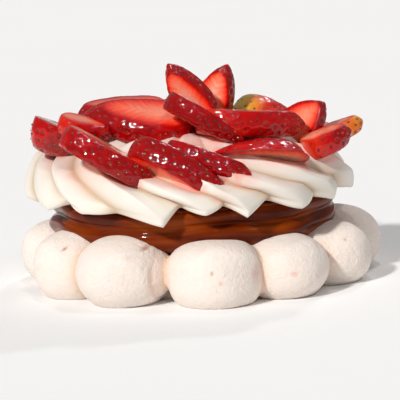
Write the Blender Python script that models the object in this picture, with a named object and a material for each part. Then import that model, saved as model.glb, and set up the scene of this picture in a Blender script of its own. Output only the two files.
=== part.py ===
"""A small pavlova: a ring of piped meringue bulbs, caramel, piped cream and strawberry slices.

Lengths are written in millimetres and turned into metres by MM. The cake stands on Z = 0 with its axis
along Z, and its front is towards -Y. A bearing is an angle about Z, from the front towards +X.
"""

import math
from collections import namedtuple

import bmesh
import bpy
from mathutils import Matrix, Vector, noise
from mathutils.bvhtree import BVHTree

MM = 0.001
GAP = 0.3  # clearance between two pieces that touch
SHARP_ANGLE = 42.0  # an edge that turns by more than this is shaded sharp

# Meringue: bulbs piped in a ring round a flat disc
Bulb = namedtuple("Bulb", "bearing ring half_width height boxiness")  # a boxiness of 2 is an ellipsoid
RING_X = -0.9  # sets the middle of the whole cake on the Z axis
BULBS = (
    Bulb(6, 46.0, 15.0, 19.8, 2.6),
    Bulb(35, 45.6, 14.6, 19.2, 2.15),
    Bulb(65, 45.6, 14.4, 19.2, 2.2),
    Bulb(97, 46.8, 14.6, 20.2, 2.3),
    Bulb(130, 46.0, 15.2, 19.6, 2.4),
    Bulb(163, 47.4, 14.8, 20.4, 2.3),
    Bulb(197, 47.2, 15.0, 19.8, 2.5),
    Bulb(231, 46.4, 15.2, 19.4, 2.3),
    Bulb(264, 45.2, 14.6, 20.2, 2.3),
    Bulb(301, 46.0, 13.9, 20.8, 2.2),
    Bulb(329, 46.0, 15.2, 21.4, 2.15),
)
BULB_SINK = 1.3  # how much of a bulb's underside its own weight has flattened
BULB_LUMP = 0.5
BULB_LUMP_SIZE = 11.0
BULB_SIDES = 16
BULB_ROWS = 10
DISC_RADIUS = 40.0
DISC_TOP = 14.0
DISC_SIDES = 33

# Caramel: two soft ribbons spread over the disc and the inner half of the bulbs
CARAMEL_X = -1.9  # the toppings lie a little to the left of the ring's axis
CARAMEL_PROFILE = (
    (0, 14.35),
    (37.0, 14.35),
    (42.5, 15.2),
    (45.6, 17),
    (47.2, 19.4),
    (47.1, 21.6),
    (45.7, 23.4),
    (46.6, 25),
    (46.8, 26.8),
    (45.6, 28.4),
    (42.5, 29.3),
    (0, 29.3),
)
CARAMEL_SIDES = 44
CARAMEL_WAIST = 23.0  # where one ribbon lies on the other
CARAMEL_EDGE = 0.85  # the share of its radius past which it is uneven
CARAMEL_SWELL = 0.9  # how far it swells out, in two rhythms round its rim
CARAMEL_SWELLS = (7, 4)
CARAMEL_WAVE = 0.7  # how far it waves up and down, in two rhythms
CARAMEL_WAVES = (5, 9)

# Cream: a mound whose star-piped folds twist down to points at its rim. On each row a crest stands out and up
# from the valleys by so much, and all of it sags by so much where a fold sags fully.
Row = namedtuple("Row", "radius z out up sag")
CREAM_X = -2.9
CREAM_ROWS = (
    Row(0, 29.7, 0, 0, 0),
    Row(40.0, 29.7, 0, 0, 0),
    Row(45.6, 29.9, 0.8, -0.1, 0),
    Row(48.4, 30.6, 4.4, -4.2, 0),
    Row(49.8, 32.2, 4.4, -3.4, 0.3),
    Row(49.6, 34.8, 4.4, -1.0, 1.0),
    Row(47.6, 37.8, 4.3, 0.7, 2.4),
    Row(44.6, 40.4, 4.0, 1.7, 3.4),
    Row(40.4, 42.6, 3.2, 2.2, 3.6),
    Row(34.6, 45.2, 2.0, 2.0, 2.4),
    Row(27.0, 47.6, 0.8, 1.3, 1.2),
    Row(18.0, 49.2, 0, 0.6, 0.4),
    Row(0, 50.2, 0, 0, 0),
)
CREAM_LIP_ROW = 4
CREAM_LEAN = 0.035  # the top is lower on the right, by this share of x
FOLD_STEPS = 5
FOLD_HOLLOW = 1.35  # 1 is a straight face from crest to valley, and more is hollow
FOLD_RUN = 20.0  # how far up from the lip the crests go on twisting
# valley: where it lies on the way to the next crest. twist: how far the crest runs sideways for each
# millimetre up from the lip. level: how shallow the valley is, where 1 is no valley at all.
Fold = namedtuple("Fold", "bearing reach droop valley sag twist level")
CREAM_FOLDS = (
    Fold(-80, 1.05, 0.3, 0.5, -0.2, 1.8, 0.8),
    Fold(-62, 0.6, 0.7, 0.5, 0.0, 2.2, 0),
    Fold(-40, 0.8, 0.55, 0.4, 0.6, 2.2, 0.5),
    Fold(-9, 1.1, 1.25, 0.4, 1.1, 1.9, 0),
    Fold(5, 0.9, 0.6, 0.5, 1.0, 1.9, 0.1),
    Fold(19, 1.0, 0.9, 0.5, 0.8, 1.3, 0),
    Fold(41, 0.9, 0.9, 0.5, 0.5, 1.9, 0.3),
    Fold(60, 0.8, 0.8, 0.4, 0.2, 1.6, 0.3),
    Fold(84, 1.0, 0.7, 0.5, 0.0, 1.0, 0.1),
    Fold(107, 0.9, 0.9, 0.5, 0.2, 1.4, 0.5),
    Fold(131, 1.1, 0.7, 0.4, 0.4, 1.8, 0),
    Fold(154, 0.9, 1.0, 0.5, 0.5, 1.2, 0.3),
    Fold(177, 1.0, 0.8, 0.4, 0.4, 1.7, 0.2),
    Fold(200, 0.9, 1.1, 0.5, 0.4, 1.4, 0),
    Fold(223, 1.1, 0.7, 0.5, 0.2, 1.0, 0.6),
    Fold(247, 0.9, 0.9, 0.4, 0.0, 1.3, 0.2),
)

# Strawberries: each slice is the part of a whole berry between two planes
BERRY_SIDES = 14
BERRY_ROWS = 8
BERRY_SHOULDER = 0.34  # where a berry is widest, as a share of its length from the stem end
# x, y and z are the slice's middle. Heading (from +X towards +Y) and pitch aim its tip, and turn rolls it
# about its own length, from lying flat. Low and high are its two planes, as shares of the half width.
Slice = namedtuple("Slice", "name x y z heading pitch turn length width low high")
SLICES = (
    Slice("slice_front_long", -27.5, -37.0, 44.9, -26, -27, -16, 34, 20, -0.36, 0.36),
    Slice("slice_left_end", -44.0, -8.5, 47.0, -20, -22, -12, 22, 20, -0.95, 0.1),
    Slice("slice_left_small", -35.5, -17.5, 52.5, -10, -17, 3, 18, 13, -0.42, 0.42),
    Slice("slice_top_wide", -18.5, -10.0, 54.0, 174, 10, -16, 39, 26, 0.0, 0.5),
    Slice("slice_top_left", -24.5, 10.5, 55.0, -174, 1, -6, 30, 25, -0.1, 0.3),
    Slice("slice_top_slope", 3.0, -23.0, 54.0, -23, -27, -18, 29, 17, -0.38, 0.38),
    Slice("slice_upright_left", -2.0, -9.5, 61.5, -167, 57, -135, 24, 14, -0.34, 0.34),
    Slice("slice_upright_right", 7.0, -0.5, 59.5, -30, 64, 88, 23, 14, -0.34, 0.34),
    Slice("slice_back_unripe", 24.5, 9.0, 52.5, 0, -8, 12, 26, 22, 0.1, 1.0),
    Slice("slice_right_large", 17.5, -17.5, 52.0, 8, -5, -4, 36, 22, -0.37, 0.37),
    Slice("slice_right_upright", 34.5, -6.5, 49.5, -11, 41, 54, 21, 17, -0.25, 0.25),
    Slice("slice_right_front", 16.5, -30.0, 45.5, -171, 5, -158, 38, 24, -1.0, -0.42),
    Slice("slice_right_end", 42.0, -16.5, 45.0, 3, 17, 4, 17, 16, -0.48, 0.38),
    Slice("slice_right_tip", 48.0, -1.5, 46.5, -4, 22, 2, 15, 14, -0.4, 0.4),
    Slice("slice_centre_dark", -6.0, -40.5, 40.4, -25, -22, -38, 35, 18, -0.45, 0.45),
    Slice("slice_centre_short", 3.5, -38.0, 42.6, -27, -15, -20, 30, 15, -0.42, 0.42),
    Slice("slice_back_1", 37.0, 17.0, 45.5, 20, -14, 8, 28, 21, -0.2, 0.25),
    Slice("slice_back_2", 18.0, 34.5, 45.0, 62, -20, -10, 29, 22, -0.2, 0.25),
    Slice("slice_back_3", -10.0, 34.0, 46.0, 105, -18, 12, 30, 23, -0.2, 0.2),
    Slice("slice_back_4", -34.0, 27.0, 45.4, 140, -16, -10, 29, 21, 0.2, 1.0),
    Slice("slice_back_5", 0.0, 19.0, 52.5, 98, -10, 10, 31, 24, -0.2, 0.2),
    Slice("slice_back_6", -42.0, 9.0, 44.6, 178, -10, 10, 23, 18, -0.25, 0.3),
)

# Finishes: colour, roughness
MERINGUE_FINISH = ((0.87, 0.78, 0.71), 0.8)
CARAMEL_FINISH = ((0.20, 0.055, 0.01), 0.25)
CREAM_FINISH = ((0.90, 0.86, 0.78), 0.55)
STRAWBERRY_FINISH = ((0.55, 0.012, 0.012), 0.2)


def clear_scene():
    for obj in list(bpy.data.objects):
        bpy.data.objects.remove(obj)


def material(name, finish):
    colour, roughness = finish
    made = bpy.data.materials.new(name)
    made.use_nodes = True
    shader = made.node_tree.nodes["Principled BSDF"]
    shader.inputs["Base Color"].default_value = (*colour, 1)
    shader.inputs["Roughness"].default_value = roughness
    shader.inputs["Metallic"].default_value = 0
    made.diffuse_color = (*colour, 1)
    return made


def object_from(bm, name, finish=None):
    """A named object that holds this bmesh, with its faces pointing out."""
    bmesh.ops.recalc_face_normals(bm, faces=bm.faces)
    mesh = bpy.data.meshes.new(name)
    bm.to_mesh(mesh)
    bm.free()
    obj = bpy.data.objects.new(name, mesh)
    bpy.context.scene.collection.objects.link(obj)
    if finish:
        mesh.materials.append(finish)
    return obj


def apply_modifiers(obj):
    graph = bpy.context.evaluated_depsgraph_get()
    mesh = bpy.data.meshes.new_from_object(obj.evaluated_get(graph))
    obj.modifiers.clear()
    obj.data = mesh


def keep_largest(obj):
    """Drops the loose scraps that a cut has left."""
    bm = bmesh.new()
    bm.from_mesh(obj.data)
    unseen = set(bm.verts)
    pieces = []
    while unseen:
        stack = [unseen.pop()]
        piece = set(stack)
        while stack:
            for edge in stack.pop().link_edges:
                for vert in edge.verts:
                    if vert in unseen:
                        unseen.discard(vert)
                        piece.add(vert)
                        stack.append(vert)
        pieces.append(piece)
    pieces.sort(key=len, reverse=True)
    scraps = [vert for piece in pieces[1:] for vert in piece]
    bmesh.ops.delete(bm, geom=scraps, context="VERTS")
    bm.to_mesh(obj.data)
    bm.free()


def carve(obj, cutters):
    """Cuts the cutters out of the object, and removes them."""
    for cutter in cutters:
        boolean = obj.modifiers.new("carve", "BOOLEAN")
        boolean.operation = "DIFFERENCE"
        boolean.solver = "EXACT"
        boolean.object = cutter
        apply_modifiers(obj)
        bpy.data.objects.remove(cutter)
    keep_largest(obj)


def meets(first, second):
    """Whether the surfaces of two objects cross."""
    trees = []
    for obj in (first, second):
        bm = bmesh.new()
        bm.from_mesh(obj.data)
        trees.append(BVHTree.FromBMesh(bm))
        bm.free()
    return bool(trees[0].overlap(trees[1]))


def spun(profile, steps):
    """A closed bmesh turned from a profile that starts and ends on the axis."""
    bm = bmesh.new()
    verts = [bm.verts.new((0, -radius * MM, z * MM)) for radius, z in profile]
    edges = [bm.edges.new(pair) for pair in zip(verts, verts[1:])]
    bmesh.ops.spin(
        bm,
        geom=verts + edges,
        axis=(0, 0, 1),
        cent=(0, 0, 0),
        angle=math.tau,
        steps=steps,
        use_merge=True,
    )
    bmesh.ops.remove_doubles(bm, verts=bm.verts, dist=0.01 * MM)
    return bm


def at_bearing(bearing, radius, z, shift=0.0):
    """The point at this bearing in radians, and radius and height in millimetres."""
    return Vector((radius * math.sin(bearing) + shift, -radius * math.cos(bearing), z)) * MM


def lumps(point, size, seed):
    """Smooth noise from about -1 to 1, with features of this size in millimetres."""
    return noise.noise(point / (size * MM) + Vector((seed, seed * 1.7, -seed)))


def bulb_object(bulb, seed, grow=0.0):
    """One bulb, larger by this much all over where it is to cut a neighbour."""
    bm = bmesh.new()
    made = bmesh.ops.create_uvsphere(bm, u_segments=BULB_SIDES, v_segments=BULB_ROWS, radius=1)
    centre = at_bearing(math.radians(bulb.bearing), bulb.ring, bulb.height / 2, RING_X)
    half_height = bulb.height / 2 + BULB_SINK + grow
    half_width = bulb.half_width + grow
    power = 2 / bulb.boxiness
    for vert in made["verts"]:
        flat = math.hypot(vert.co.x, vert.co.y)
        radius = flat**power * half_width
        rise = math.copysign(abs(vert.co.z) ** power, vert.co.z) * half_height
        outward = vert.co.normalized()
        aside = vert.co.xy.normalized() if flat > 1e-6 else Vector((0, 0))
        vert.co = centre + Vector((aside.x * radius, aside.y * radius, rise - BULB_SINK)) * MM
        vert.co += outward * lumps(vert.co, BULB_LUMP_SIZE, seed) * BULB_LUMP * MM
    return object_from(bm, "bulb")


def meringue_node(finish):
    """The bulbs and the disc fused into one, and cut flat underneath."""
    collection = bpy.data.collections.new("bulbs")
    for seed, bulb in enumerate(BULBS):
        obj = bulb_object(bulb, seed)
        bpy.context.scene.collection.objects.unlink(obj)
        collection.objects.link(obj)
    bm = bmesh.new()
    depth = DISC_TOP + 2 * BULB_SINK
    middle = Matrix.Translation(Vector((RING_X, 0, DISC_TOP - depth / 2)) * MM)
    bmesh.ops.create_cone(
        bm,
        cap_ends=True,
        segments=DISC_SIDES,
        radius1=DISC_RADIUS * MM,
        radius2=DISC_RADIUS * MM,
        depth=depth * MM,
        matrix=middle,
    )
    meringue = object_from(bm, "meringue")
    union = meringue.modifiers.new("fuse", "BOOLEAN")
    union.operation = "UNION"
    union.solver = "EXACT"
    union.operand_type = "COLLECTION"
    union.collection = collection
    apply_modifiers(meringue)
    for obj in list(collection.objects):
        bpy.data.objects.remove(obj)
    bpy.data.collections.remove(collection)
    table = bmesh.new()
    side = 4 * DISC_RADIUS * MM
    bmesh.ops.create_cube(table, size=side, matrix=Matrix.Translation((0, 0, -side / 2)))
    carve(meringue, [object_from(table, "table")])
    meringue.data.materials.clear()
    meringue.data.materials.append(finish)
    return meringue


def caramel_place(bearing, radius, z):
    """Where a point of the turned caramel goes once its rim has swelled and waved."""
    rim = max(radius for radius, _ in CARAMEL_PROFILE)
    bottom, top = CARAMEL_PROFILE[0][1], CARAMEL_PROFILE[-1][1]
    outer = max(0.0, (radius / rim - CARAMEL_EDGE) / (1 - CARAMEL_EDGE))
    phase = 1.3 if z > CARAMEL_WAIST else 0.0
    often, seldom = CARAMEL_SWELLS
    radius += outer * CARAMEL_SWELL * math.sin(often * bearing + phase) * math.cos(seldom * bearing - phase)
    seldom, often = CARAMEL_WAVES
    wave = math.sin(seldom * bearing + 0.8) + 0.5 * math.sin(often * bearing)
    z += outer * CARAMEL_WAVE * wave * math.sin(math.pi * (z - bottom) / (top - bottom))
    return at_bearing(bearing, radius, z, CARAMEL_X)


def caramel_node(finish):
    bm = spun(CARAMEL_PROFILE, CARAMEL_SIDES)
    for vert in bm.verts:
        bearing = math.atan2(vert.co.x, -vert.co.y)
        vert.co = caramel_place(bearing, vert.co.xy.length / MM, vert.co.z / MM)
    return object_from(bm, "caramel", finish)


def fold_height(fold, following, share):
    """Reach and droop of the surface between two crests, from each crest's own down to the valley's."""
    if share < fold.valley:
        crest = fold
        rise = (1 - share / fold.valley) ** FOLD_HOLLOW
    else:
        crest = following
        rise = ((share - fold.valley) / (1 - fold.valley)) ** FOLD_HOLLOW
    rise *= 1 - fold.level
    first = (1 - share) * fold.level
    second = share * fold.level
    reach = rise * crest.reach + first * fold.reach + second * following.reach
    return reach, rise * crest.droop + first * fold.droop + second * following.droop


def cream_place(row, arc, turn):
    """Where the cream's surface is, on one row, at a share of a full turn counted from the first fold."""
    count = len(CREAM_FOLDS)
    index = int(turn * count) % count
    share = turn * count - int(turn * count)
    fold = CREAM_FOLDS[index]
    following = CREAM_FOLDS[(index + 1) % count]
    gap = (following.bearing - fold.bearing) % 360
    bearing = math.radians(fold.bearing + gap * share)
    twist = fold.twist * (1 - share) + following.twist * share
    bearing -= twist * min(arc, FOLD_RUN) / CREAM_ROWS[CREAM_LIP_ROW].radius
    reach, droop = fold_height(fold, following, share)
    radius = row.radius + row.out * reach
    z = row.z + row.up * (droop if row.up < 0 else reach)
    z -= row.sag * (fold.sag * (1 - share) + following.sag * share)
    if row.up >= 0 and row.z > CREAM_ROWS[CREAM_LIP_ROW].z:
        z -= CREAM_LEAN * radius * math.sin(bearing)
    return at_bearing(bearing, radius, z, CREAM_X)


def cream_node(finish):
    steps = len(CREAM_FOLDS) * FOLD_STEPS
    bm = spun([(row.radius, row.z) for row in CREAM_ROWS], steps)
    arcs = {}
    for index, row in enumerate(CREAM_ROWS):
        path = CREAM_ROWS[CREAM_LIP_ROW : index + 1]
        arcs[index] = sum(math.hypot(b.radius - a.radius, b.z - a.z) for a, b in zip(path, path[1:]))
    for vert in bm.verts:
        radius = vert.co.xy.length / MM
        z = vert.co.z / MM
        index = min(
            range(len(CREAM_ROWS)),
            key=lambda i: math.hypot(CREAM_ROWS[i].radius - radius, CREAM_ROWS[i].z - z),
        )
        turn = math.atan2(vert.co.x, -vert.co.y) / math.tau % 1
        turn = round(turn * steps) % steps / steps
        vert.co = cream_place(CREAM_ROWS[index], arcs[index], turn)
    return object_from(bm, "cream", finish)


def berry_radius(along):
    """A berry's radius as a share of its widest, at a share of its length from the stem end."""
    if along < BERRY_SHOULDER:
        return max(0.0, 1 - ((BERRY_SHOULDER - along) / BERRY_SHOULDER) ** 2.6) ** 0.5
    return max(0.0, 1 - ((along - BERRY_SHOULDER) / (1 - BERRY_SHOULDER)) ** 1.7) ** 0.72


def slice_axes(piece):
    """The slice's own directions: thickness, width and length towards the tip."""
    heading, pitch, turn = (math.radians(v) for v in (piece.heading, piece.pitch, piece.turn))
    tip = Vector((math.cos(pitch) * math.cos(heading), math.cos(pitch) * math.sin(heading), math.sin(pitch)))
    flat = (Vector((0, 0, 1)) - tip * tip.z).normalized()
    side = tip.cross(flat)
    face = flat * math.cos(turn) + side * math.sin(turn)
    return face, tip.cross(face), tip


def slice_object(piece, finish=None, grow=0.0):
    """A slice in its place, larger by this much all over where it is to cut a neighbour."""
    bm = bmesh.new()
    bmesh.ops.create_uvsphere(bm, u_segments=BERRY_SIDES, v_segments=BERRY_ROWS, radius=1)
    half = piece.width / 2
    for vert in bm.verts:
        along = (1 + vert.co.z) / 2
        radius = berry_radius(along) * (half + grow)
        aside = vert.co.xy.normalized() if vert.co.xy.length > 1e-6 else Vector((0, 0))
        reach = (along - 0.5) * (piece.length + 2 * grow)
        vert.co = Vector((aside.x * radius, aside.y * radius, reach)) * MM
    for share, outward in ((piece.low, -1), (piece.high, 1)):
        if abs(share) >= 1:
            continue
        cut = bmesh.ops.bisect_plane(
            bm,
            geom=bm.verts[:] + bm.edges[:] + bm.faces[:],
            plane_co=((share * half + outward * grow) * MM, 0, 0),
            plane_no=(outward, 0, 0),
            clear_outer=True,
        )
        rim = [item for item in cut["geom_cut"] if isinstance(item, bmesh.types.BMEdge)]
        bmesh.ops.edgeloop_fill(bm, edges=rim)
    middle = (max(piece.low, -1) + min(piece.high, 1)) / 2 * half * MM
    bmesh.ops.translate(bm, verts=bm.verts, vec=(-middle, 0, 0))
    axes = Matrix(slice_axes(piece)).transposed().to_4x4()
    place = Matrix.Translation(Vector((piece.x, piece.y, piece.z)) * MM)
    bmesh.ops.transform(bm, verts=bm.verts, matrix=place @ axes)
    return object_from(bm, piece.name, finish)


def slice_cutters(pieces, obj):
    """Those of these slices, each grown by the gap, that reach into the object."""
    found = []
    for piece in pieces:
        cutter = slice_object(piece, grow=1.2 * GAP)
        if meets(cutter, obj):
            found.append(cutter)
        else:
            bpy.data.objects.remove(cutter)
    return found


def build():
    clear_scene()
    meringue = meringue_node(material("meringue", MERINGUE_FINISH))
    caramel = caramel_node(material("caramel", CARAMEL_FINISH))
    cream = cream_node(material("cream", CREAM_FINISH))
    strawberry = material("strawberry", STRAWBERRY_FINISH)
    carve(caramel, [bulb_object(bulb, seed, 1.2 * GAP) for seed, bulb in enumerate(BULBS)])
    for index, piece in enumerate(SLICES):
        obj = slice_object(piece, strawberry)
        carve(obj, slice_cutters(SLICES[:index], obj))
    carve(cream, slice_cutters(SLICES, cream))
    for obj in bpy.data.objects:
        obj.data.shade_smooth()
        obj.data.set_sharp_from_angle(angle=math.radians(SHARP_ANGLE))


build()
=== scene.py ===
"""A small pavlova: meringue bulbs, caramel, piped cream and glazed strawberry slices.

Lengths are written in millimetres and turned into metres by MM. A bearing is an angle about Z that starts at
the front, which is towards -Y, and grows towards +X.
"""

import math
import random
from collections import namedtuple

import bmesh
import bpy
from mathutils import Matrix, Quaternion, Vector, noise
from mathutils.kdtree import KDTree


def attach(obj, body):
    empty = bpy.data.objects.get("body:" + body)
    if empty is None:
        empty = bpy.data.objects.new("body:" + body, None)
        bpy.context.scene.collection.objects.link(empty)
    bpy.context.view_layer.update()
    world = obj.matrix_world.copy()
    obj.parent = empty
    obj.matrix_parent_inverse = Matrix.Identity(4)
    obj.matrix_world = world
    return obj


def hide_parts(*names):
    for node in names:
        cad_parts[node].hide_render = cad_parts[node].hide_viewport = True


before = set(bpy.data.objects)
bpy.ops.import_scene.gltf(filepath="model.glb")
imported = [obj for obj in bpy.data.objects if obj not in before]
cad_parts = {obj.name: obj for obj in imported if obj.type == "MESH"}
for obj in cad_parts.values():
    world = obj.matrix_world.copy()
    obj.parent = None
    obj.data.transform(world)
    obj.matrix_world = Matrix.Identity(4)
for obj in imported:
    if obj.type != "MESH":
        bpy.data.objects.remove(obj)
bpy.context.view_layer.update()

MM = 0.001
SCENE = bpy.context.scene

# Meringue: bulbs piped in a ring round a flat disc
Bulb = namedtuple("Bulb", "bearing ring half_width height boxiness")  # a boxiness of 2 is an ellipsoid
RING_X = -0.9
BULBS = (
    Bulb(6, 46.0, 15.0, 19.8, 2.6),
    Bulb(35, 45.6, 14.6, 19.2, 2.15),
    Bulb(65, 45.6, 14.4, 19.2, 2.2),
    Bulb(97, 46.8, 14.6, 20.2, 2.3),
    Bulb(130, 46.0, 15.2, 19.6, 2.4),
    Bulb(163, 47.4, 14.8, 20.4, 2.3),
    Bulb(197, 47.2, 15.0, 19.8, 2.5),
    Bulb(231, 46.4, 15.2, 19.4, 2.3),
    Bulb(264, 45.2, 14.6, 20.2, 2.3),
    Bulb(301, 46.0, 13.9, 20.8, 2.2),
    Bulb(329, 46.0, 15.2, 21.4, 2.15),
)
BULB_SINK = 1.3  # how far the bulbs are let down, so that the underside flattens them
BULB_LUMPS = (11.0, 0.5)  # size, depth
SKIN_LUMPS = ((4.0, 0.12), (1.7, 0.04))
BULB_SIDES = 64
BULB_ROWS = 40
DISC_RADIUS = 40.0
DISC_TOP = 14.0
DISC_SIDES = 66
MERINGUE_GRAIN = 0.62  # edge length of its surface's squares
# Marks: a dent of some depth round a bearing and height, tinted by so much with a toasted or a pink colour
Mark = namedtuple("Mark", "bearing z half_width half_height depth toasted pink")
MARKS = (
    Mark(-51.0, 16.8, 0.5, 0.6, 0.4, 1.0, 0.0),
    Mark(-19.0, 18.3, 0.8, 0.6, 0.5, 0.9, 0.0),
    Mark(-22.0, 16.4, 3.2, 0.7, 0.3, 0.1, 0.0),
    Mark(-17.5, 14.0, 0.7, 2.4, 0.3, 0.1, 0.0),
    Mark(-25.0, 13.0, 2.6, 0.7, 0.25, 0.0, 0.0),
    Mark(-15.8, 8.0, 0.9, 8.0, 0.7, 0.15, 0.1),
    Mark(3.5, 11.8, 0.4, 0.5, 0.1, 0.9, 0.0),
    Mark(5.9, 8.7, 0.5, 0.5, 0.0, 0.0, 0.7),
    Mark(17.4, 10.3, 1.7, 1.6, 0.0, 0.1, 0.25),
    Mark(29.3, 8.9, 1.0, 0.6, 0.1, 0.0, 0.7),
    Mark(57.2, 14.8, 0.35, 0.35, 0.1, 0.7, 0.0),
)
HIDDEN_MARKS = 14  # how many more there are on the side that doesn't show
MARK_RADIUS = 44.0  # the ring's outer side, which has the marks, starts here
MARK_FADE = 2.5  # a mark is gone this many of its half sizes away
CREASE_SHADE_REACH = 1.6  # how far the painted crease shade spreads from a crease

# Caramel: two soft ribbons
CARAMEL_X = -1.9
CARAMEL_PROFILE = (
    (0, 14.35),
    (37.0, 14.35),
    (42.5, 15.2),
    (45.6, 17),
    (47.2, 19.4),
    (47.1, 21.6),
    (45.7, 23.4),
    (46.6, 25),
    (46.8, 26.8),
    (45.6, 28.4),
    (42.5, 29.3),
    (0, 29.3),
)
CARAMEL_WAIST = 23.0
CARAMEL_EDGE = 0.85  # the rim, which swells and waves, starts at this share of the radius
CARAMEL_SWELL = 0.9
CARAMEL_SWELLS = (7, 4)  # times round the rim
CARAMEL_WAVE = 0.7
CARAMEL_WAVES = (5, 9)  # times round the rim
CARAMEL_SIDES = 240

# Cream: star-piped folds that twist down to points at the rim. Out and up are how far a full crest moves a
# row, and sag is how far the row sinks where its fold's own sag is 1.
Row = namedtuple("Row", "radius z out up sag")
CREAM_X = -2.9
CREAM_ROWS = (
    Row(0, 29.7, 0, 0, 0),
    Row(40.0, 29.7, 0, 0, 0),
    Row(45.6, 29.9, 0.8, -0.1, 0),
    Row(48.4, 30.6, 4.4, -4.2, 0),
    Row(49.8, 32.2, 4.4, -3.4, 0.3),
    Row(49.6, 34.8, 4.4, -1.0, 1.0),
    Row(47.6, 37.8, 4.3, 0.7, 2.4),
    Row(44.6, 40.4, 4.0, 1.7, 3.4),
    Row(40.4, 42.6, 3.2, 2.2, 3.6),
    Row(34.6, 45.2, 2.0, 2.0, 2.4),
    Row(27.0, 47.6, 0.8, 1.3, 1.2),
    Row(18.0, 49.2, 0, 0.6, 0.4),
    Row(0, 50.2, 0, 0, 0),
)
CREAM_LIP_ROW = 4
CREAM_LEAN = 0.035
CREAM_ROW_STEPS = 6  # rows of the fine surface in each gap between two rows of the table
FOLD_STEPS = 26
CREAM_LUMPS = (9.0, 0.35)  # size, depth
JUICE_AND_REFLECTION_REACH = 1.6  # how far from a slice its juice stain and painted red reflection have spread
HOLLOW_SHADE_LINE = 0.12  # how high up a fold's side the darker painted-shade line in its valley goes
HOLLOW_SHADE_OUT = 2.5  # rows that crests move less than this have paler painted shade in their valleys
FOLD_RUN = 20.0  # how far up from the lip the crests go on twisting
FOLD_CREASE = 0.16  # how deep the line along a valley is, as a share of the row's reach
FOLD_CREASE_WIDTH = 0.2  # how high up a fold's side that line goes
SHARP_CREST = 1.45
ROUND_CREST = 1.7
# Reach and droop are how far the crest goes out, and down at the lip. Valley is where it lies on the way to
# the next crest, and point is 1 for a sharp crest and 0 for a round one. Twist is how far the crest runs
# sideways for each millimetre up, and level is 1 for no valley at all.
Fold = namedtuple("Fold", "bearing reach droop valley sag point twist level")
CREAM_FOLDS = (
    Fold(-80, 1.05, 0.3, 0.5, -0.2, 1.0, 1.8, 0.8),
    Fold(-62, 0.6, 0.7, 0.5, 0.0, 0.5, 2.2, 0),
    Fold(-40, 0.8, 0.55, 0.4, 0.6, 0.4, 2.2, 0.5),
    Fold(-9, 1.1, 1.25, 0.4, 1.1, 0.9, 1.9, 0),
    Fold(5, 0.9, 0.6, 0.5, 1.0, 0.2, 1.9, 0.1),
    Fold(19, 1.0, 0.9, 0.5, 0.8, 0.8, 1.3, 0),
    Fold(41, 0.9, 0.9, 0.5, 0.5, 0.2, 1.9, 0.3),
    Fold(60, 0.8, 0.8, 0.4, 0.2, 0.6, 1.6, 0.3),
    Fold(84, 1.0, 0.7, 0.5, 0.0, 0.9, 1.0, 0.1),
    Fold(107, 0.9, 0.9, 0.5, 0.2, 0.5, 1.4, 0.5),
    Fold(131, 1.1, 0.7, 0.4, 0.4, 0.7, 1.8, 0),
    Fold(154, 0.9, 1.0, 0.5, 0.5, 0.4, 1.2, 0.3),
    Fold(177, 1.0, 0.8, 0.4, 0.4, 0.8, 1.7, 0.2),
    Fold(200, 0.9, 1.1, 0.5, 0.4, 0.5, 1.4, 0),
    Fold(223, 1.1, 0.7, 0.5, 0.2, 0.7, 1.0, 0.6),
    Fold(247, 0.9, 0.9, 0.4, 0.0, 0.5, 1.3, 0.2),
)

# Strawberries: each slice is the part of a whole berry between two cuts, low and high, which are given as
# shares of half its width, and x, y and z are its middle. Heading and pitch are where its tip points, and turn
# is its turn about its length, in degrees. Stem and tip are its skin at the two ends, from 0 for dark red to 1
# and more for unripe, and pale is how pale its flesh is in the middle.
BERRY_SIDES = 136
BERRY_ROWS = 84
BERRY_SHOULDER = 0.34
BERRY_UNEVEN = 0.05
SKIN_SLANT = 0.3  # how much the skin faces the tip, where a seed is pressed in
RIM_ROUND = 0.32  # how softly a cut face meets the skin
FACE_WAVE = 0.25  # how far a cut face is from flat
FLESH_START = 0.25  # flesh shows where the cuts have taken off more than this
FLESH_BLEND = 0.5
SEED_SPACING = 2.9
SEED_TURN = 137.5  # from one seed to the next, in degrees
SEED_SWAY = 0.12
SEED_RIM = 0.5  # no seeds are nearer than this to a cut
SEED_SINK = 0.75  # how deep a seed sits, as a share of its dimple
SEED_DIMPLE = 0.48
SEED_DIMPLE_REACH = 0.7
SEED_SIZE = (0.22, 0.3, 0.48)  # half its height, width and length
Slice = namedtuple("Slice", "name x y z heading pitch turn length width low high stem tip pale")
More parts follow.
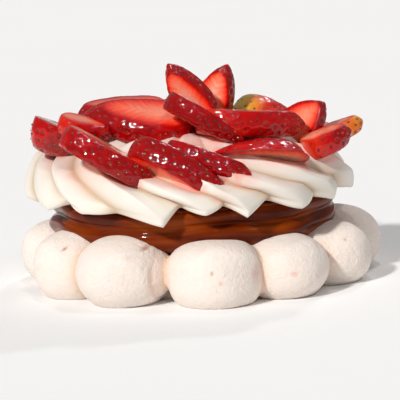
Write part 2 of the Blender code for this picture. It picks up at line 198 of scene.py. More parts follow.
SLICES = (
    Slice("slice_front_long", -27.5, -37.0, 44.9, -26, -27, -16, 34, 20, -0.36, 0.36, 0.15, 0.01, 0.7),
    Slice("slice_left_end", -44.0, -8.5, 47.0, -20, -22, -12, 22, 20, -0.95, 0.1, 0.2, 0, 0.5),
    Slice("slice_left_small", -35.5, -17.5, 52.5, -10, -17, 3, 18, 13, -0.42, 0.42, 0.45, 0.15, 0.55),
    Slice("slice_top_wide", -18.5, -10.0, 54.0, 174, 10, -16, 39, 26, 0.0, 0.5, 0.1, 0.01, 0.6),
    Slice("slice_top_left", -24.5, 10.5, 55.0, -174, 1, -6, 30, 25, -0.1, 0.3, 0.1, 0.01, 0.2),
    Slice("slice_top_slope", 3.0, -23.0, 54.0, -23, -27, -18, 29, 17, -0.38, 0.38, 0.0, 0.0, 0.5),
    Slice("slice_upright_left", -2.0, -9.5, 61.5, -167, 57, -135, 24, 14, -0.34, 0.34, 0.1, 0.01, 0.8),
    Slice("slice_upright_right", 7.0, -0.5, 59.5, -30, 64, 88, 23, 14, -0.34, 0.34, 0.1, 0.01, 1.0),
    Slice("slice_back_unripe", 24.5, 9.0, 52.5, 0, -8, 12, 26, 22, 0.1, 1.0, 1.5, 0.1, 0.5),
    Slice("slice_right_large", 17.5, -17.5, 52.0, 8, -5, -4, 36, 22, -0.37, 0.37, 0.3, 0.15, 0.4),
    Slice("slice_right_upright", 34.5, -6.5, 49.5, -11, 41, 54, 21, 17, -0.25, 0.25, 0.2, 0.02, 0.4),
    Slice("slice_right_front", 16.5, -30.0, 45.5, -171, 5, -158, 38, 24, -1.0, -0.42, 0.1, 0.2, 0.9),
    Slice("slice_right_end", 42.0, -16.5, 45.0, 3, 17, 4, 17, 16, -0.48, 0.38, 0.55, 0.05, 0.6),
    Slice("slice_right_tip", 48.0, -1.5, 46.5, -4, 22, 2, 15, 14, -0.4, 0.4, 0.15, 0.75, 0.6),
    Slice("slice_centre_dark", -6.0, -40.5, 40.4, -25, -22, -38, 35, 18, -0.45, 0.45, 0.0, 0.0, 0.8),
    Slice("slice_centre_short", 3.5, -38.0, 42.6, -27, -15, -20, 30, 15, -0.42, 0.42, 0.05, 0.01, 0.6),
    Slice("slice_back_1", 37.0, 17.0, 45.5, 20, -14, 8, 28, 21, -0.2, 0.25, 0.2, 0.02, 0.7),
    Slice("slice_back_2", 18.0, 34.5, 45.0, 62, -20, -10, 29, 22, -0.2, 0.25, 0.1, 0.01, 0.6),
    Slice("slice_back_3", -10.0, 34.0, 46.0, 105, -18, 12, 30, 23, -0.2, 0.2, 0.2, 0.02, 0.8),
    Slice("slice_back_4", -34.0, 27.0, 45.4, 140, -16, -10, 29, 21, 0.2, 1.0, 0.3, 0.03, 0.5),
    Slice("slice_back_5", 0.0, 19.0, 52.5, 98, -10, 10, 31, 24, -0.2, 0.2, 0.1, 0.01, 0.5),
    Slice("slice_back_6", -42.0, 9.0, 44.6, 178, -10, 10, 23, 18, -0.25, 0.3, 0.15, 0.01, 0.8),
)


def object_from(bm, name, *finishes):
    """A smooth-shaded object that holds this bmesh, with its faces pointing out."""
    bmesh.ops.recalc_face_normals(bm, faces=bm.faces)
    mesh = bpy.data.meshes.new(name)
    bm.to_mesh(mesh)
    bm.free()
    for finish in finishes:
        mesh.materials.append(finish)
    mesh.shade_smooth()
    obj = bpy.data.objects.new(name, mesh)
    SCENE.collection.objects.link(obj)
    return obj


def at_bearing(bearing, radius, z, shift=0.0):
    """The point at this bearing in radians, and radius and height in millimetres."""
    return Vector((radius * math.sin(bearing) + shift, -radius * math.cos(bearing), z)) * MM


def lumps(point, size, seed):
    """Smooth noise from about -1 to 1, with features of this size in millimetres."""
    return noise.noise(point / (size * MM) + Vector((seed, seed * 1.7, -seed)))


def curved(t, a, b, c, d):
    """A smooth curve's value at a share t of the way from b to c, where a comes before them and d after."""
    square = 2 * a - 5 * b + 4 * c - d
    cube = 3 * b - a - 3 * c + d
    return 0.5 * (2 * b + (c - a) * t + square * t**2 + cube * t**3)


def spline(points, steps):
    """The points with a smooth curve's points between them, this many steps to each gap."""
    found = []
    last = len(points) - 1
    for index in range(last):
        before, start = points[max(index - 1, 0)], points[index]
        end, after = points[index + 1], points[min(index + 2, last)]
        for step in range(steps):
            corners = zip(before, start, end, after)
            found.append(tuple(curved(step / steps, *corner) for corner in corners))
    found.append(tuple(points[last]))
    return found


def turned_rows(count, steps):
    """A closed surface of revolution whose rows lie at the heights 0, 1, 2 and on, until they are placed."""
    bm = bmesh.new()
    verts = []
    for row in range(count):
        radius = 0 if row in (0, count - 1) else 1
        verts.append(bm.verts.new((0, -radius, row)))
    edges = [bm.edges.new(pair) for pair in zip(verts, verts[1:])]
    bmesh.ops.spin(
        bm,
        geom=verts + edges,
        axis=(0, 0, 1),
        cent=(0, 0, 0),
        angle=math.tau,
        steps=steps,
        use_merge=True,
    )
    bmesh.ops.remove_doubles(bm, verts=bm.verts, dist=0.001)
    return bm


# Materials


def add_node(tree, kind, sockets=None, **settings):
    """A new node with these settings, whose sockets are set or linked."""
    made = tree.nodes.new(kind)
    for key, value in settings.items():
        setattr(made, key, value)
    for key, value in (sockets or {}).items():
        if isinstance(value, bpy.types.NodeSocket):
            tree.links.new(value, made.inputs[key])
        else:
            made.inputs[key].default_value = value
    return made


def mixed(tree, factor, first, second, blend="MIX"):
    """Two colours mixed, or blended in another way."""
    sockets = {0: factor, 6: first, 7: second}
    return add_node(tree, "ShaderNodeMix", sockets, data_type="RGBA", blend_type=blend).outputs[2]


def ramp(tree, factor, stops):
    """A colour ramp through these stops of place and colour."""
    made = add_node(tree, "ShaderNodeValToRGB", {"Fac": factor})
    elements = made.color_ramp.elements
    while len(elements) < len(stops):
        elements.new(0.5)
    for element, (place, colour) in zip(elements, stops):
        element.position = place
        element.color = (*colour, 1)
    return made.outputs["Color"]


def span(tree, value, low, high):
    """How far a value is on its way from low to high, from 0 to 1."""
    sockets = {"Value": value, "From Min": low, "From Max": high}
    return add_node(tree, "ShaderNodeMapRange", sockets, clamp=True).outputs["Result"]


def worked_out(tree, operation, *values):
    """The result of this operation on two or three values."""
    return add_node(tree, "ShaderNodeMath", dict(enumerate(values)), operation=operation).outputs[0]


def attribute(tree, name, output="Fac"):
    """What a layer of the mesh says at each point."""
    return add_node(tree, "ShaderNodeAttribute", attribute_name=name).outputs[output]


def noise_of(tree, scale, detail=2.0, vector=None):
    """Noise on the piece's own place, or on another vector, as a value from 0 to 1."""
    if vector is None:
        vector = add_node(tree, "ShaderNodeTexCoord").outputs["Object"]
    sockets = {"Vector": vector, "Scale": scale, "Detail": detail}
    return add_node(tree, "ShaderNodeTexNoise", sockets).outputs["Fac"]


def new_finish(name, constants):
    """A material and its shader, with these values on the shader's own sockets."""
    made = bpy.data.materials.new(name)
    made.use_nodes = True
    shader = made.node_tree.nodes["Principled BSDF"]
    for key, value in constants.items():
        shader.inputs[key].default_value = value
    return made, made.node_tree, shader


def mottle_group():
    """A colour that drifts lighter and darker over the surface in soft patches."""
    tree = bpy.data.node_groups.new("mottle", "ShaderNodeTree")
    tree.interface.new_socket("Color", in_out="INPUT", socket_type="NodeSocketColor")
    tree.interface.new_socket("Scale", in_out="INPUT", socket_type="NodeSocketFloat")
    tree.interface.new_socket("Amount", in_out="INPUT", socket_type="NodeSocketFloat")
    tree.interface.new_socket("Color", in_out="OUTPUT", socket_type="NodeSocketColor")
    given = tree.nodes.new("NodeGroupInput")
    patches = noise_of(tree, given.outputs["Scale"], 3.0)
    swing = worked_out(tree, "SUBTRACT", patches, 0.5)
    swing = worked_out(tree, "MULTIPLY", swing, given.outputs["Amount"])
    light = worked_out(tree, "ADD", swing, 1.0)
    shade = add_node(tree, "ShaderNodeCombineColor", {0: light, 1: light, 2: light}).outputs[0]
    result = mixed(tree, 1.0, given.outputs["Color"], shade, "MULTIPLY")
    leave = tree.nodes.new("NodeGroupOutput")
    tree.links.new(result, leave.inputs["Color"])
    return tree


def grain_group():
    """The height of a fine uneven surface, coarse and fine grain added up."""
    tree = bpy.data.node_groups.new("grain", "ShaderNodeTree")
    tree.interface.new_socket("Coarse Scale", in_out="INPUT", socket_type="NodeSocketFloat")
    tree.interface.new_socket("Fine Scale", in_out="INPUT", socket_type="NodeSocketFloat")
    tree.interface.new_socket("Fine Share", in_out="INPUT", socket_type="NodeSocketFloat")
    tree.interface.new_socket("Height", in_out="OUTPUT", socket_type="NodeSocketFloat")
    given = tree.nodes.new("NodeGroupInput")
    coarse = noise_of(tree, given.outputs["Coarse Scale"], 2.0)
    fine = noise_of(tree, given.outputs["Fine Scale"], 2.0)
    result = worked_out(tree, "MULTIPLY_ADD", fine, given.outputs["Fine Share"], coarse)
    leave = tree.nodes.new("NodeGroupOutput")
    tree.links.new(result, leave.inputs["Height"])
    return tree


MOTTLE = mottle_group()
GRAIN = grain_group()


def placed_group(tree, group, sockets):
    """A group placed in a material with its own values."""
    return add_node(tree, "ShaderNodeGroup", sockets, node_tree=group).outputs[0]


def bump(tree, shader, height, strength, distance):
    """Turns a height into the shader's relief, and gives that back for its coat."""
    sockets = {"Height": height, "Strength": strength, "Distance": distance * MM}
    made = add_node(tree, "ShaderNodeBump", sockets)
    tree.links.new(made.outputs["Normal"], shader.inputs["Normal"])
    return made.outputs["Normal"]


def meringue_finish():
    """Matt, warm white and full of fine pores, with painted shade darkening the creases between bulbs towards
    brown, and a few stray specks.
    """
    constants = {
        "Roughness": 0.75,
        "Specular IOR Level": 0.3,
        "Subsurface Weight": 0.25,
        "Subsurface Radius": (1.0, 0.75, 0.55),
        "Subsurface Scale": 2.5 * MM,
    }
    made, tree, shader = new_finish("baked_meringue", constants)
    # Painted shade: darker and browner in the creases between the bulbs
    colour = mixed(tree, attribute(tree, "crease_shade"), (0.93, 0.82, 0.75, 1), (0.80, 0.56, 0.40, 1))
    colour = mixed(tree, attribute(tree, "toasted"), colour, (0.50, 0.23, 0.10, 1))
    colour = mixed(tree, attribute(tree, "pink"), colour, (0.90, 0.34, 0.28, 1))
    colour = placed_group(tree, MOTTLE, {"Color": colour, "Scale": 110.0, "Amount": 0.1})
    tree.links.new(colour, shader.inputs["Base Color"])
    grain = placed_group(tree, GRAIN, {"Coarse Scale": 700.0, "Fine Scale": 1800.0, "Fine Share": 0.7})
    bump(tree, shader, grain, 0.8, 0.5)
    return made


def caramel_finish():
    """Glossy brown, streaked along the ribbons."""
    constants = {
        "Roughness": 0.4,
        "Specular IOR Level": 0.02,
        "Coat Weight": 0.6,
        "Coat Roughness": 0.07,
        "Coat IOR": 1.3,
    }
    made, tree, shader = new_finish("soft_caramel", constants)
    streak = noise_of(tree, 1.0, 1.0, attribute(tree, "streak", "Vector"))
    stops = ((0.3, (0.07, 0.005, 0.0001)), (0.5, (0.155, 0.018, 0.0002)), (0.7, (0.27, 0.042, 0.0004)))
    colour = ramp(tree, streak, stops)
    colour = placed_group(tree, MOTTLE, {"Color": colour, "Scale": 60.0, "Amount": 0.5})
    tree.links.new(colour, shader.inputs["Base Color"])
    normal = bump(tree, shader, streak, 0.25, 0.5)
    tree.links.new(normal, shader.inputs["Coat Normal"])
    return made


def cream_finish():
    """Smooth white cream, with painted shade darkening its hollows, and pink below the slices, partly juice
    stain and partly painted red reflection.
    """
    constants = {
        "Roughness": 0.42,
        "Specular IOR Level": 0.4,
        "Subsurface Weight": 0.12,
        "Subsurface Radius": (1.0, 0.85, 0.6),
        "Subsurface Scale": 3.0 * MM,
    }
    made, tree, shader = new_finish("whipped_cream", constants)
    # Painted shade: the hollows between folds are darkened towards brown
    colour = mixed(tree, attribute(tree, "hollow_shade"), (0.90, 0.845, 0.765, 1), (0.64, 0.46, 0.29, 1))
    # Pink near the slices in blotches: partly juice stain, partly painted red reflection from the slices
    blotch = span(tree, noise_of(tree, 140.0, 2.0), 0.42, 0.62)
    stain_and_reflection = worked_out(tree, "MULTIPLY", attribute(tree, "juice_and_reflection"), blotch)
    colour = mixed(tree, stain_and_reflection, colour, (0.90, 0.34, 0.27, 1))
    colour = placed_group(tree, MOTTLE, {"Color": colour, "Scale": 50.0, "Amount": 0.05})
    tree.links.new(colour, shader.inputs["Base Color"])
    grain = placed_group(tree, GRAIN, {"Coarse Scale": 160.0, "Fine Scale": 900.0, "Fine Share": 0.12})
    bump(tree, shader, grain, 0.25, 0.5)
    return made


def strawberry_finish():
    """Wet glazed strawberry: red skin, and flesh that pales and runs in fibres towards the middle."""
    constants = {
        "Roughness": 0.35,
        "Specular IOR Level": 0.04,
        "Coat Weight": 1.0,
        "Coat Roughness": 0.06,
        "Coat IOR": 1.42,
        "Subsurface Weight": 0.12,
        "Subsurface Radius": (1.0, 0.25, 0.12),
        "Subsurface Scale": 1.5 * MM,
    }
    made, tree, shader = new_finish("glazed_strawberry", constants)
    patches = worked_out(tree, "ADD", noise_of(tree, 220.0, 3.0), -0.5)
    tone = worked_out(tree, "MULTIPLY_ADD", patches, 0.5, attribute(tree, "tone"))
    skin_stops = (
        (0.0, (0.30, 0.000, 0.001)),
        (0.2, (0.54, 0.001, 0.002)),
        (0.5, (0.74, 0.030, 0.004)),
        (0.75, (0.80, 0.20, 0.012)),
        (1.0, (0.62, 0.46, 0.06)),
    )
    skin = ramp(tree, tone, skin_stops)
    fibres = worked_out(tree, "ADD", noise_of(tree, 1.0, 3.0, attribute(tree, "fibre", "Vector")), -0.5)
    flesh = worked_out(tree, "MULTIPLY_ADD", fibres, 0.45, attribute(tree, "flesh"))
    flesh_stops = (
        (0.0, (1.0, 0.68, 0.56)),
        (0.3, (1.0, 0.30, 0.18)),
        (0.6, (1.0, 0.105, 0.045)),
        (0.85, (0.80, 0.014, 0.006)),
        (1.0, (0.45, 0.001, 0.002)),
    )
    flesh = ramp(tree, flesh, flesh_stops)
    colour = mixed(tree, attribute(tree, "cut"), skin, flesh)
    tree.links.new(colour, shader.inputs["Base Color"])
    ripple = placed_group(tree, GRAIN, {"Coarse Scale": 420.0, "Fine Scale": 1100.0, "Fine Share": 0.3})
    normal = bump(tree, shader, ripple, 0.5, 0.4)
    tree.links.new(normal, shader.inputs["Coat Normal"])
    return made


def seed_finish():
    """Small hard seeds, straw yellow to brown, under the same glaze."""
    made, tree, shader = new_finish("strawberry_seed", {"Roughness": 0.35, "Coat Weight": 0.8})
    stops = ((0.4, (0.05, 0.002, 0.001)), (0.54, (0.14, 0.018, 0.003)), (0.7, (0.38, 0.17, 0.02)))
    colour = ramp(tree, noise_of(tree, 260.0, 1.0), stops)
    tree.links.new(colour, shader.inputs["Base Color"])
    return made


# Meringue


def crease_at(point, centres):
    """How near a point is to where two bulbs meet, from 1 in the crease down to 0, which sets the painted
    crease shade.
    """
    gaps = sorted((point - centre).xy.length - bulb.half_width * MM for centre, bulb in zip(centres, BULBS))
    return math.exp(-(gaps[1] - gaps[0]) / MM / CREASE_SHADE_REACH)


def hidden_marks():
    """Marks of the same kinds, scattered over the back of the ring."""
    rng = random.Random(8)
    found = []
    for index in range(HIDDEN_MARKS):
        size = rng.uniform(0.4, 0.8)
        bearing, z = rng.uniform(75, 290), rng.uniform(6, 17)
        toasted, pink = ((0.8, 0.0), (0.0, 0.5))[index % 2]
        found.append(Mark(bearing, z, size, size * rng.uniform(0.7, 1.3), 0.4 * size, toasted, pink))
    return found


def mark_share(mark, place):
    """How much of a mark a place on the ring's outer side has, from 1 in its middle down to 0."""
    x, y, z = place / MM
    radius = math.hypot(x - RING_X, y)
    if radius < MARK_RADIUS or abs(z - mark.z) > MARK_FADE * mark.half_height:
        return 0.0
    away = (math.degrees(math.atan2(x - RING_X, -y)) - mark.bearing + 180) % 360 - 180
    across = math.radians(away) * radius / mark.half_width
    if abs(across) > MARK_FADE:
        return 0.0
    return math.exp(-(across**2) - ((z - mark.z) / mark.half_height) ** 2)


def bulbs_and_disc():
    """The uneven bulbs and the disc inside them, which reach into each other."""
    bm = bmesh.new()
    lump_size, lump_depth = BULB_LUMPS
    for seed, bulb in enumerate(BULBS):
        power = 2 / bulb.boxiness
        made = bmesh.ops.create_uvsphere(bm, u_segments=BULB_SIDES, v_segments=BULB_ROWS, radius=1)
        centre = at_bearing(math.radians(bulb.bearing), bulb.ring, bulb.height / 2, RING_X)
        for vert in made["verts"]:
            flat = vert.co.xy.length
            aside = vert.co.xy.normalized() if flat > 1e-6 else Vector((0, 0))
            radius = flat**power * bulb.half_width
            rise = math.copysign(abs(vert.co.z) ** power, vert.co.z) * (bulb.height / 2 + BULB_SINK)
            outward = vert.co.normalized()
            vert.co = centre + Vector((aside.x * radius, aside.y * radius, rise - BULB_SINK)) * MM
            vert.co += outward * lumps(vert.co, lump_size, seed) * lump_depth * MM
    depth = DISC_TOP + 2 * BULB_SINK
    bmesh.ops.create_cone(
        bm,
        cap_ends=True,
        segments=DISC_SIDES,
        radius1=DISC_RADIUS * MM,
        radius2=DISC_RADIUS * MM,
        depth=depth * MM,
        matrix=Matrix.Translation(Vector((RING_X, 0, DISC_TOP - depth / 2)) * MM),
    )
    return object_from(bm, "meringue_ring")


def joined(obj):
    """The mesh of this object's shapes as one skin, with their meeting lines softened."""
    remesh = obj.modifiers.new("join", "REMESH")
    remesh.mode = "VOXEL"
    remesh.voxel_size = MERINGUE_GRAIN * MM
    soften = obj.modifiers.new("soften", "SMOOTH")
    soften.factor = 0.5
    soften.iterations = 4
    mesh = bpy.data.meshes.new_from_object(obj.evaluated_get(bpy.context.evaluated_depsgraph_get()))
    bpy.data.objects.remove(obj)
    return mesh


def meringue_piece(finish):
    """The ring as one skin, with small lumps, pits and specks, and painted shade marked in the creases between
    the bulbs.
    """
    bm = bmesh.new()
    bm.from_mesh(joined(bulbs_and_disc()))
    bm.normal_update()
    crease_shade = bm.verts.layers.float.new("crease_shade")
    toasted = bm.verts.layers.float.new("toasted")
    pink = bm.verts.layers.float.new("pink")
    normals = [vert.normal.copy() for vert in bm.verts]
    centres = [at_bearing(math.radians(bulb.bearing), bulb.ring, 0, RING_X) for bulb in BULBS]
    for vert, normal in zip(bm.verts, normals):
        # How much painted shade each point gets from the creases between bulbs
        vert[crease_shade] = crease_at(vert.co, centres)
        for size, depth in SKIN_LUMPS:
            vert.co += normal * lumps(vert.co, size, 5) * depth * MM
        vert.co.z = max(vert.co.z, 0.0)
    for mark in (*MARKS, *hidden_marks()):
        for vert, normal in zip(bm.verts, normals):
            near = mark_share(mark, vert.co)
            if near:
                vert.co -= normal * mark.depth * near * MM
                vert[toasted] = max(vert[toasted], mark.toasted * near)
                vert[pink] = max(vert[pink], mark.pink * near)
    return object_from(bm, "meringue_ring", finish)


# Caramel


def caramel_place(bearing, radius, z):
    """Where a point of the turned caramel goes once its rim has swelled and waved."""
    rim = max(radius for radius, _ in CARAMEL_PROFILE)
    bottom, top = CARAMEL_PROFILE[0][1], CARAMEL_PROFILE[-1][1]
    outer = max(0.0, (radius / rim - CARAMEL_EDGE) / (1 - CARAMEL_EDGE))
    phase = 1.3 if z > CARAMEL_WAIST else 0.0
    often, seldom = CARAMEL_SWELLS
    radius += outer * CARAMEL_SWELL * math.sin(often * bearing + phase) * math.cos(seldom * bearing - phase)
    seldom, often = CARAMEL_WAVES
    wave = math.sin(seldom * bearing + 0.8) + 0.5 * math.sin(often * bearing)
    z += outer * CARAMEL_WAVE * wave * math.sin(math.pi * (z - bottom) / (top - bottom))
    return at_bearing(bearing, radius, z, CARAMEL_X)


def caramel_piece(finish):
    """The two ribbons, with streaks that run along them."""
    profile = spline(CARAMEL_PROFILE, 5)
    bm = turned_rows(len(profile), CARAMEL_SIDES)
    streak = bm.verts.layers.float_vector.new("streak")
    for vert in bm.verts:
        bearing = math.atan2(vert.co.x, -vert.co.y)
        radius, z = profile[round(vert.co.z)]
        vert.co = caramel_place(bearing, radius, z)
        drift = z + 1.2 * math.sin(3 * bearing) + 0.6 * math.sin(8 * bearing + 1)
        vert[streak] = Vector((2.2 * math.sin(bearing), 2.2 * math.cos(bearing), drift * 0.3 + radius * 0.1))
    return object_from(bm, "caramel_ribbons", finish)


# Cream


def fold_share(t, point):
    """Height from 1 on the crest to 0 in the valley, at a share t of the way down."""
    sharp = (1 - t) ** SHARP_CREST
    soft = 1 - t**ROUND_CREST
    return point * sharp + (1 - point) * soft


def fold_height(fold, following, share):
    """Reach and droop of the surface between two crests, and how far up it is from the valley."""
    if share < fold.valley:
        crest = fold
        rise = fold_share(share / fold.valley, fold.point)
    else:
        crest = following
        rise = fold_share((1 - share) / (1 - fold.valley), following.point)
    steep = rise * (1 - fold.level)
    first = (1 - share) * fold.level
    second = share * fold.level
    reach = steep * crest.reach + first * fold.reach + second * following.reach
    reach -= FOLD_CREASE * math.exp(-rise / FOLD_CREASE_WIDTH)
    droop = steep * crest.droop + first * fold.droop + second * following.droop
    return reach, droop, rise


def cream_place(row, arc, turn):
    """Where the surface is at a share of a turn from the first fold, and how high on its fold that is."""
    count = len(CREAM_FOLDS)
    index = int(turn * count) % count
    share = turn * count - int(turn * count)
    fold = CREAM_FOLDS[index]
    following = CREAM_FOLDS[(index + 1) % count]
    gap = (following.bearing - fold.bearing) % 360
    bearing = math.radians(fold.bearing + gap * share)
    twist = fold.twist * (1 - share) + following.twist * share
    bearing -= twist * min(arc, FOLD_RUN) / CREAM_ROWS[CREAM_LIP_ROW].radius
    reach, droop, rise = fold_height(fold, following, share)
    radius = row.radius + row.out * reach
    z = row.z + row.up * (droop if row.up < 0 else reach)
    z -= row.sag * (fold.sag * (1 - share) + following.sag * share)
    low, high = CREAM_ROWS[CREAM_LIP_ROW + 1].z, CREAM_ROWS[CREAM_LIP_ROW + 2].z
    leaning = min(max((row.z - low) / (high - low), 0.0), 1.0)
    z -= leaning * CREAM_LEAN * radius * math.sin(bearing)
    return at_bearing(bearing, radius, z, CREAM_X), rise


def cream_piece(finish, slices):
    """The mound of folds, with painted shade in its hollows, and the places that the slices' juice and painted
    red reflection have reached.
    """
    rows = [Row(*values) for values in spline(CREAM_ROWS, CREAM_ROW_STEPS)]
    steps = len(CREAM_FOLDS) * FOLD_STEPS
    lip = CREAM_LIP_ROW * CREAM_ROW_STEPS
    arcs = [0.0] * len(rows)
    for index in range(lip + 1, len(rows)):
        before, row = rows[index - 1], rows[index]
        arcs[index] = arcs[index - 1] + math.hypot(row.radius - before.radius, row.z - before.z)
    tree = KDTree(sum(len(obj.data.vertices) for obj in slices))
    index = 0
    for obj in slices:
        for vert in obj.data.vertices:
            tree.insert(vert.co, index)
            index += 1
    tree.balance()
    bm = turned_rows(len(rows), steps)
    lump_size, lump_depth = CREAM_LUMPS
    hollow_shade = bm.verts.layers.float.new("hollow_shade")
    juice_and_reflection = bm.verts.layers.float.new("juice_and_reflection")
    for vert in bm.verts:
        index = round(vert.co.z)
        turn = math.atan2(vert.co.x, -vert.co.y) / math.tau % 1
        place, rise = cream_place(rows[index], arcs[index], turn)
        place.z += lumps(place, lump_size, 3) * lump_depth * MM
        vert.co = place
        # Nearness to a slice sets its juice stain and painted red reflection
        near = tree.find(place)[2] / MM
        vert[juice_and_reflection] = math.exp(-near / JUICE_AND_REFLECTION_REACH)
        # Painted shade: strongest in each fold's valley, with a thin darker line along it
        depth = 0.5 * (1 - rise) ** 3 + 0.5 * math.exp(-rise / HOLLOW_SHADE_LINE)
        vert[hollow_shade] = depth * min(1.0, rows[index].out / HOLLOW_SHADE_OUT)
    return object_from(bm, "piped_cream", finish)


# Strawberry slices


def berry_radius(along):
    """A berry's radius as a share of its widest, at a share of its length from the stem end."""
    if along < BERRY_SHOULDER:
        return max(0.0, 1 - ((BERRY_SHOULDER - along) / BERRY_SHOULDER) ** 2.6) ** 0.5
    return max(0.0, 1 - ((along - BERRY_SHOULDER) / (1 - BERRY_SHOULDER)) ** 1.7) ** 0.72


def slice_axes(piece):
    """The slice's own directions: thickness, width and length towards the tip."""
    heading, pitch, turn = (math.radians(angle) for angle in (piece.heading, piece.pitch, piece.turn))
    tip = Vector((math.cos(pitch) * math.cos(heading), math.cos(pitch) * math.sin(heading), math.sin(pitch)))
    flat = (Vector((0, 0, 1)) - tip * tip.z).normalized()
    side = tip.cross(flat)
    face = flat * math.cos(turn) + side * math.sin(turn)
    return face, tip.cross(face), tip


def held_below(value, limit, softness):
    """The value, or the limit where it would pass it, with a soft bend between them."""
    excess = (limit - value) / softness
    if excess > 30:
        return value
    return limit - softness * math.log1p(math.exp(excess))


def berry_point(piece, along, angle, seed):
    """A point of the whole berry's skin in millimetres, along the slice's own directions."""
    radius = berry_radius(along) * piece.width / 2
    aside = Vector((math.cos(angle), math.sin(angle), along * 2))
    radius *= 1 + BERRY_UNEVEN * noise.noise(aside * 1.3 + Vector((seed * 3.1, 0, 0)))
    return Vector((math.cos(angle) * radius, math.sin(angle) * radius, (along - 0.5) * piece.length))


def seed_places(piece, seed):
    """The seeds' places, which wind round the berry a golden angle apart."""
    rng = random.Random(seed)
    count = round(0.8 * math.pi * piece.width * piece.length / SEED_SPACING**2)
    places = []
    for index in range(count):
        along = 0.03 + 0.94 * (index + 0.5) / count
        angle = index * math.radians(SEED_TURN) + rng.uniform(-SEED_SWAY, SEED_SWAY)
        places.append((along, angle))
    return places


def add_seeds(bm, piece, places, laid, home):
    """A seed in each dimple that the cuts have left on the skin."""
    half = piece.width / 2
    for point, _, angle in places:
        if not piece.low * half + SEED_RIM < point.x < piece.high * half - SEED_RIM:
            continue
        outward = Vector((math.cos(angle), math.sin(angle), SKIN_SLANT)).normalized()
        held, _ = laid(point - outward * SEED_DIMPLE * SEED_SINK)
        length = (Vector((0, 0, 1)) - outward * outward.z).normalized()
        turned = Matrix((outward, length.cross(outward), length)).transposed().to_4x4()
        scaled = Matrix.Diagonal((*SEED_SIZE, 1)) @ Matrix.Scale(MM, 4)
        matrix = home @ Matrix.Translation(held * MM) @ turned @ scaled
        bmesh.ops.create_uvsphere(bm, u_segments=8, v_segments=5, radius=1, matrix=matrix)
    for face in bm.faces:
        face.material_index = 1


def flesh_tone(piece, along, inside):
    """How red the flesh is, from 0 where it is pale to 1 under the skin, at a share of the way out to it."""
    core = max(0.0, 1 - along) ** 0.35
    return min(1.0, max(0.0, inside**2.2 * 1.05 + (1 - piece.pale * core) * 0.5 - 0.12))


def slice_piece(piece, seed, *finishes):
    """A slice with rounded rims, dimpled skin and its seeds, in its place."""
    half = piece.width / 2
    low, high = max(piece.low, -1.1) * half, min(piece.high, 1.1) * half
    middle = (max(piece.low, -1) + min(piece.high, 1)) / 2 * half
    places = [(berry_point(piece, *place, seed), *place) for place in seed_places(piece, seed)]
    tree = KDTree(len(places))
    for index, (point, _, _) in enumerate(places):
        tree.insert(point, index)
    tree.balance()
    axes = Matrix(slice_axes(piece)).transposed().to_4x4()
    home = Matrix.Translation(Vector((piece.x, piece.y, piece.z)) * MM) @ axes
    bm = bmesh.new()
    tone = bm.verts.layers.float.new("tone")
    flesh = bm.verts.layers.float.new("flesh")
    cut = bm.verts.layers.float.new("cut")
    fibre = bm.verts.layers.float_vector.new("fibre")

    def laid(point):
        """The point with its thickness held between the two cuts, and moved to the slice's place."""
        x = held_below(point.x, high, RIM_ROUND)
        x = -held_below(-x, -low, RIM_ROUND)
        wave = FACE_WAVE * noise.noise(Vector((point.y, point.z, seed * 7)) / 6)
        return Vector((x - middle + wave, point.y, point.z)), x

    add_seeds(bm, piece, places, laid, home)
    made = bmesh.ops.create_uvsphere(bm, u_segments=BERRY_SIDES, v_segments=BERRY_ROWS, radius=1)
    for vert in made["verts"]:
        along = min(max((1 + vert.co.z) / 2, 0.0), 1.0)
        angle = math.atan2(vert.co.y, vert.co.x)
        point = berry_point(piece, along, angle, seed)
        outward = Vector((math.cos(angle), math.sin(angle), SKIN_SLANT))
        near = tree.find(point)[2]
        dip = SEED_DIMPLE * math.exp(-((near / SEED_DIMPLE_REACH) ** 2))
        point -= outward * dip
        held, x = laid(point)
        whole = max(berry_radius(along) * half, 0.01)
        inside = min(math.hypot(x, point.y) / whole, 1.0)
        vert[cut] = min(1.0, max(0.0, (abs(point.x - x) - FLESH_START) / FLESH_BLEND))
        vert[flesh] = flesh_tone(piece, along, inside)
        vert[tone] = piece.tip + (piece.stem - piece.tip) * (1 - along) ** 2
        slant = point.z - 0.7 * abs(point.y)
        vert[fibre] = Vector((slant * 0.9, abs(point.y) * 0.22, seed * 3.0))
        vert.co = home @ (held * MM)
    return object_from(bm, piece.name.replace("slice", "strawberry"), *finishes)


# Stage: camera, floor and lights

VIEW_TARGET = Vector((0.2, 0, 24.9)) * MM
VIEW_DISTANCE = 620 * MM
VIEW_ELEVATION = math.radians(9)
VIEW_ROLL = math.radians(-2.6)
PIXELS_PER_MM = 3.01
PICTURE_WIDTH = 400  # in pixels
SENSOR_WIDTH = 36  # in millimetres
FLOOR_RADIUS = 4.0  # in metres, as are the two places where the floor starts and ends turning grey
FLOOR_PALE = -0.19
FLOOR_GREY = -0.4
WORLD_STRENGTH = 0.2
# Far lights: where each comes from, how many degrees wide it looks, and its strength and colour
Light = namedtuple("Light", "name place width strength colour")
LIGHTS = (
    Light("key", (-0.57, -0.78, 0.74), 5, 2.6, (1.0, 0.98, 0.95)),
    Light("top", (0.05, 0.15, 0.8), 4, 0.4, (1, 1, 1)),
    Light("front", (0.15, -0.7, 0.6), 3, 0.15, (1, 1, 1)),
    Light("right", (0.6, -0.2, 0.6), 3, 0.1, (1, 1, 1)),
    Light("back", (0.3, 0.75, 0.7), 4, 0.45, (1, 1, 1)),
)


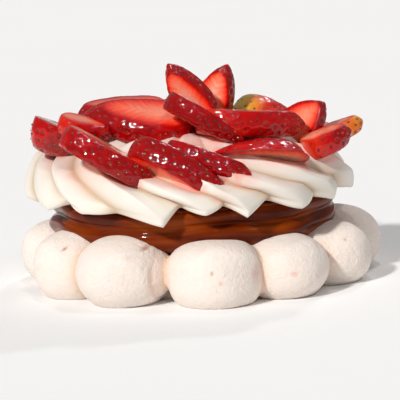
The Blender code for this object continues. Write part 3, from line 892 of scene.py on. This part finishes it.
def add_camera():
    """The camera, a little above the cake and in front of it."""
    data = bpy.data.cameras.new("camera")
    data.sensor_width = SENSOR_WIDTH
    data.lens = SENSOR_WIDTH * PIXELS_PER_MM * VIEW_DISTANCE / MM / PICTURE_WIDTH
    camera = bpy.data.objects.new("camera", data)
    back = Vector((0, -math.cos(VIEW_ELEVATION), math.sin(VIEW_ELEVATION)))
    camera.location = VIEW_TARGET + back * VIEW_DISTANCE
    camera.rotation_mode = "QUATERNION"
    camera.rotation_quaternion = Quaternion(back, VIEW_ROLL) @ (-back).to_track_quat("-Z", "Y")
    SCENE.collection.objects.link(camera)
    SCENE.camera = camera


def add_floor():
    """A wide pale floor that turns greyer far in front, so that the glaze stays deep red."""
    bm = bmesh.new()
    bmesh.ops.create_circle(bm, cap_ends=True, segments=96, radius=FLOOR_RADIUS)
    made, tree, shader = new_finish("pale_floor", {"Roughness": 0.9, "Specular IOR Level": 0.0})
    place = add_node(tree, "ShaderNodeTexCoord").outputs["Object"]
    far = add_node(tree, "ShaderNodeSeparateXYZ", {0: place}).outputs["Y"]
    far = span(tree, far, FLOOR_PALE, FLOOR_GREY)
    colour = mixed(tree, far, (0.94, 0.94, 0.94, 1), (0.25, 0.25, 0.25, 1))
    colour = placed_group(tree, MOTTLE, {"Color": colour, "Scale": 3.0, "Amount": 0.02})
    tree.links.new(colour, shader.inputs["Base Color"])
    floor = object_from(bm, "floor", made)
    floor.location.z = -0.02 * MM


def add_lights():
    """Soft light from all round, and far lights that shine at the cake."""
    world = bpy.data.worlds.new("studio")
    world.use_nodes = True
    background = world.node_tree.nodes["Background"]
    background.inputs["Color"].default_value = (1, 1, 1, 1)
    background.inputs["Strength"].default_value = WORLD_STRENGTH
    SCENE.world = world
    SCENE.view_settings.view_transform = "Standard"
    for row in LIGHTS:
        data = bpy.data.lights.new(row.name, "SUN")
        data.angle = math.radians(row.width)
        data.energy = row.strength
        data.color = row.colour
        light = bpy.data.objects.new(row.name, data)
        light.location = row.place
        light.rotation_mode = "QUATERNION"
        light.rotation_quaternion = (VIEW_TARGET - Vector(row.place)).to_track_quat("-Z", "Y")
        SCENE.collection.objects.link(light)


add_camera()
add_floor()
add_lights()

strawberry = strawberry_finish()
seeds = seed_finish()
slices = []
for number, row in enumerate(SLICES):
    piece = slice_piece(row, number, strawberry, seeds)
    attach(piece, "root")
    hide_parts(row.name)
    slices.append(piece)

for piece, node in (
    (meringue_piece(meringue_finish()), "meringue"),
    (caramel_piece(caramel_finish()), "caramel"),
    (cream_piece(cream_finish(), slices), "cream"),
):
    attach(piece, "root")
    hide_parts(node)
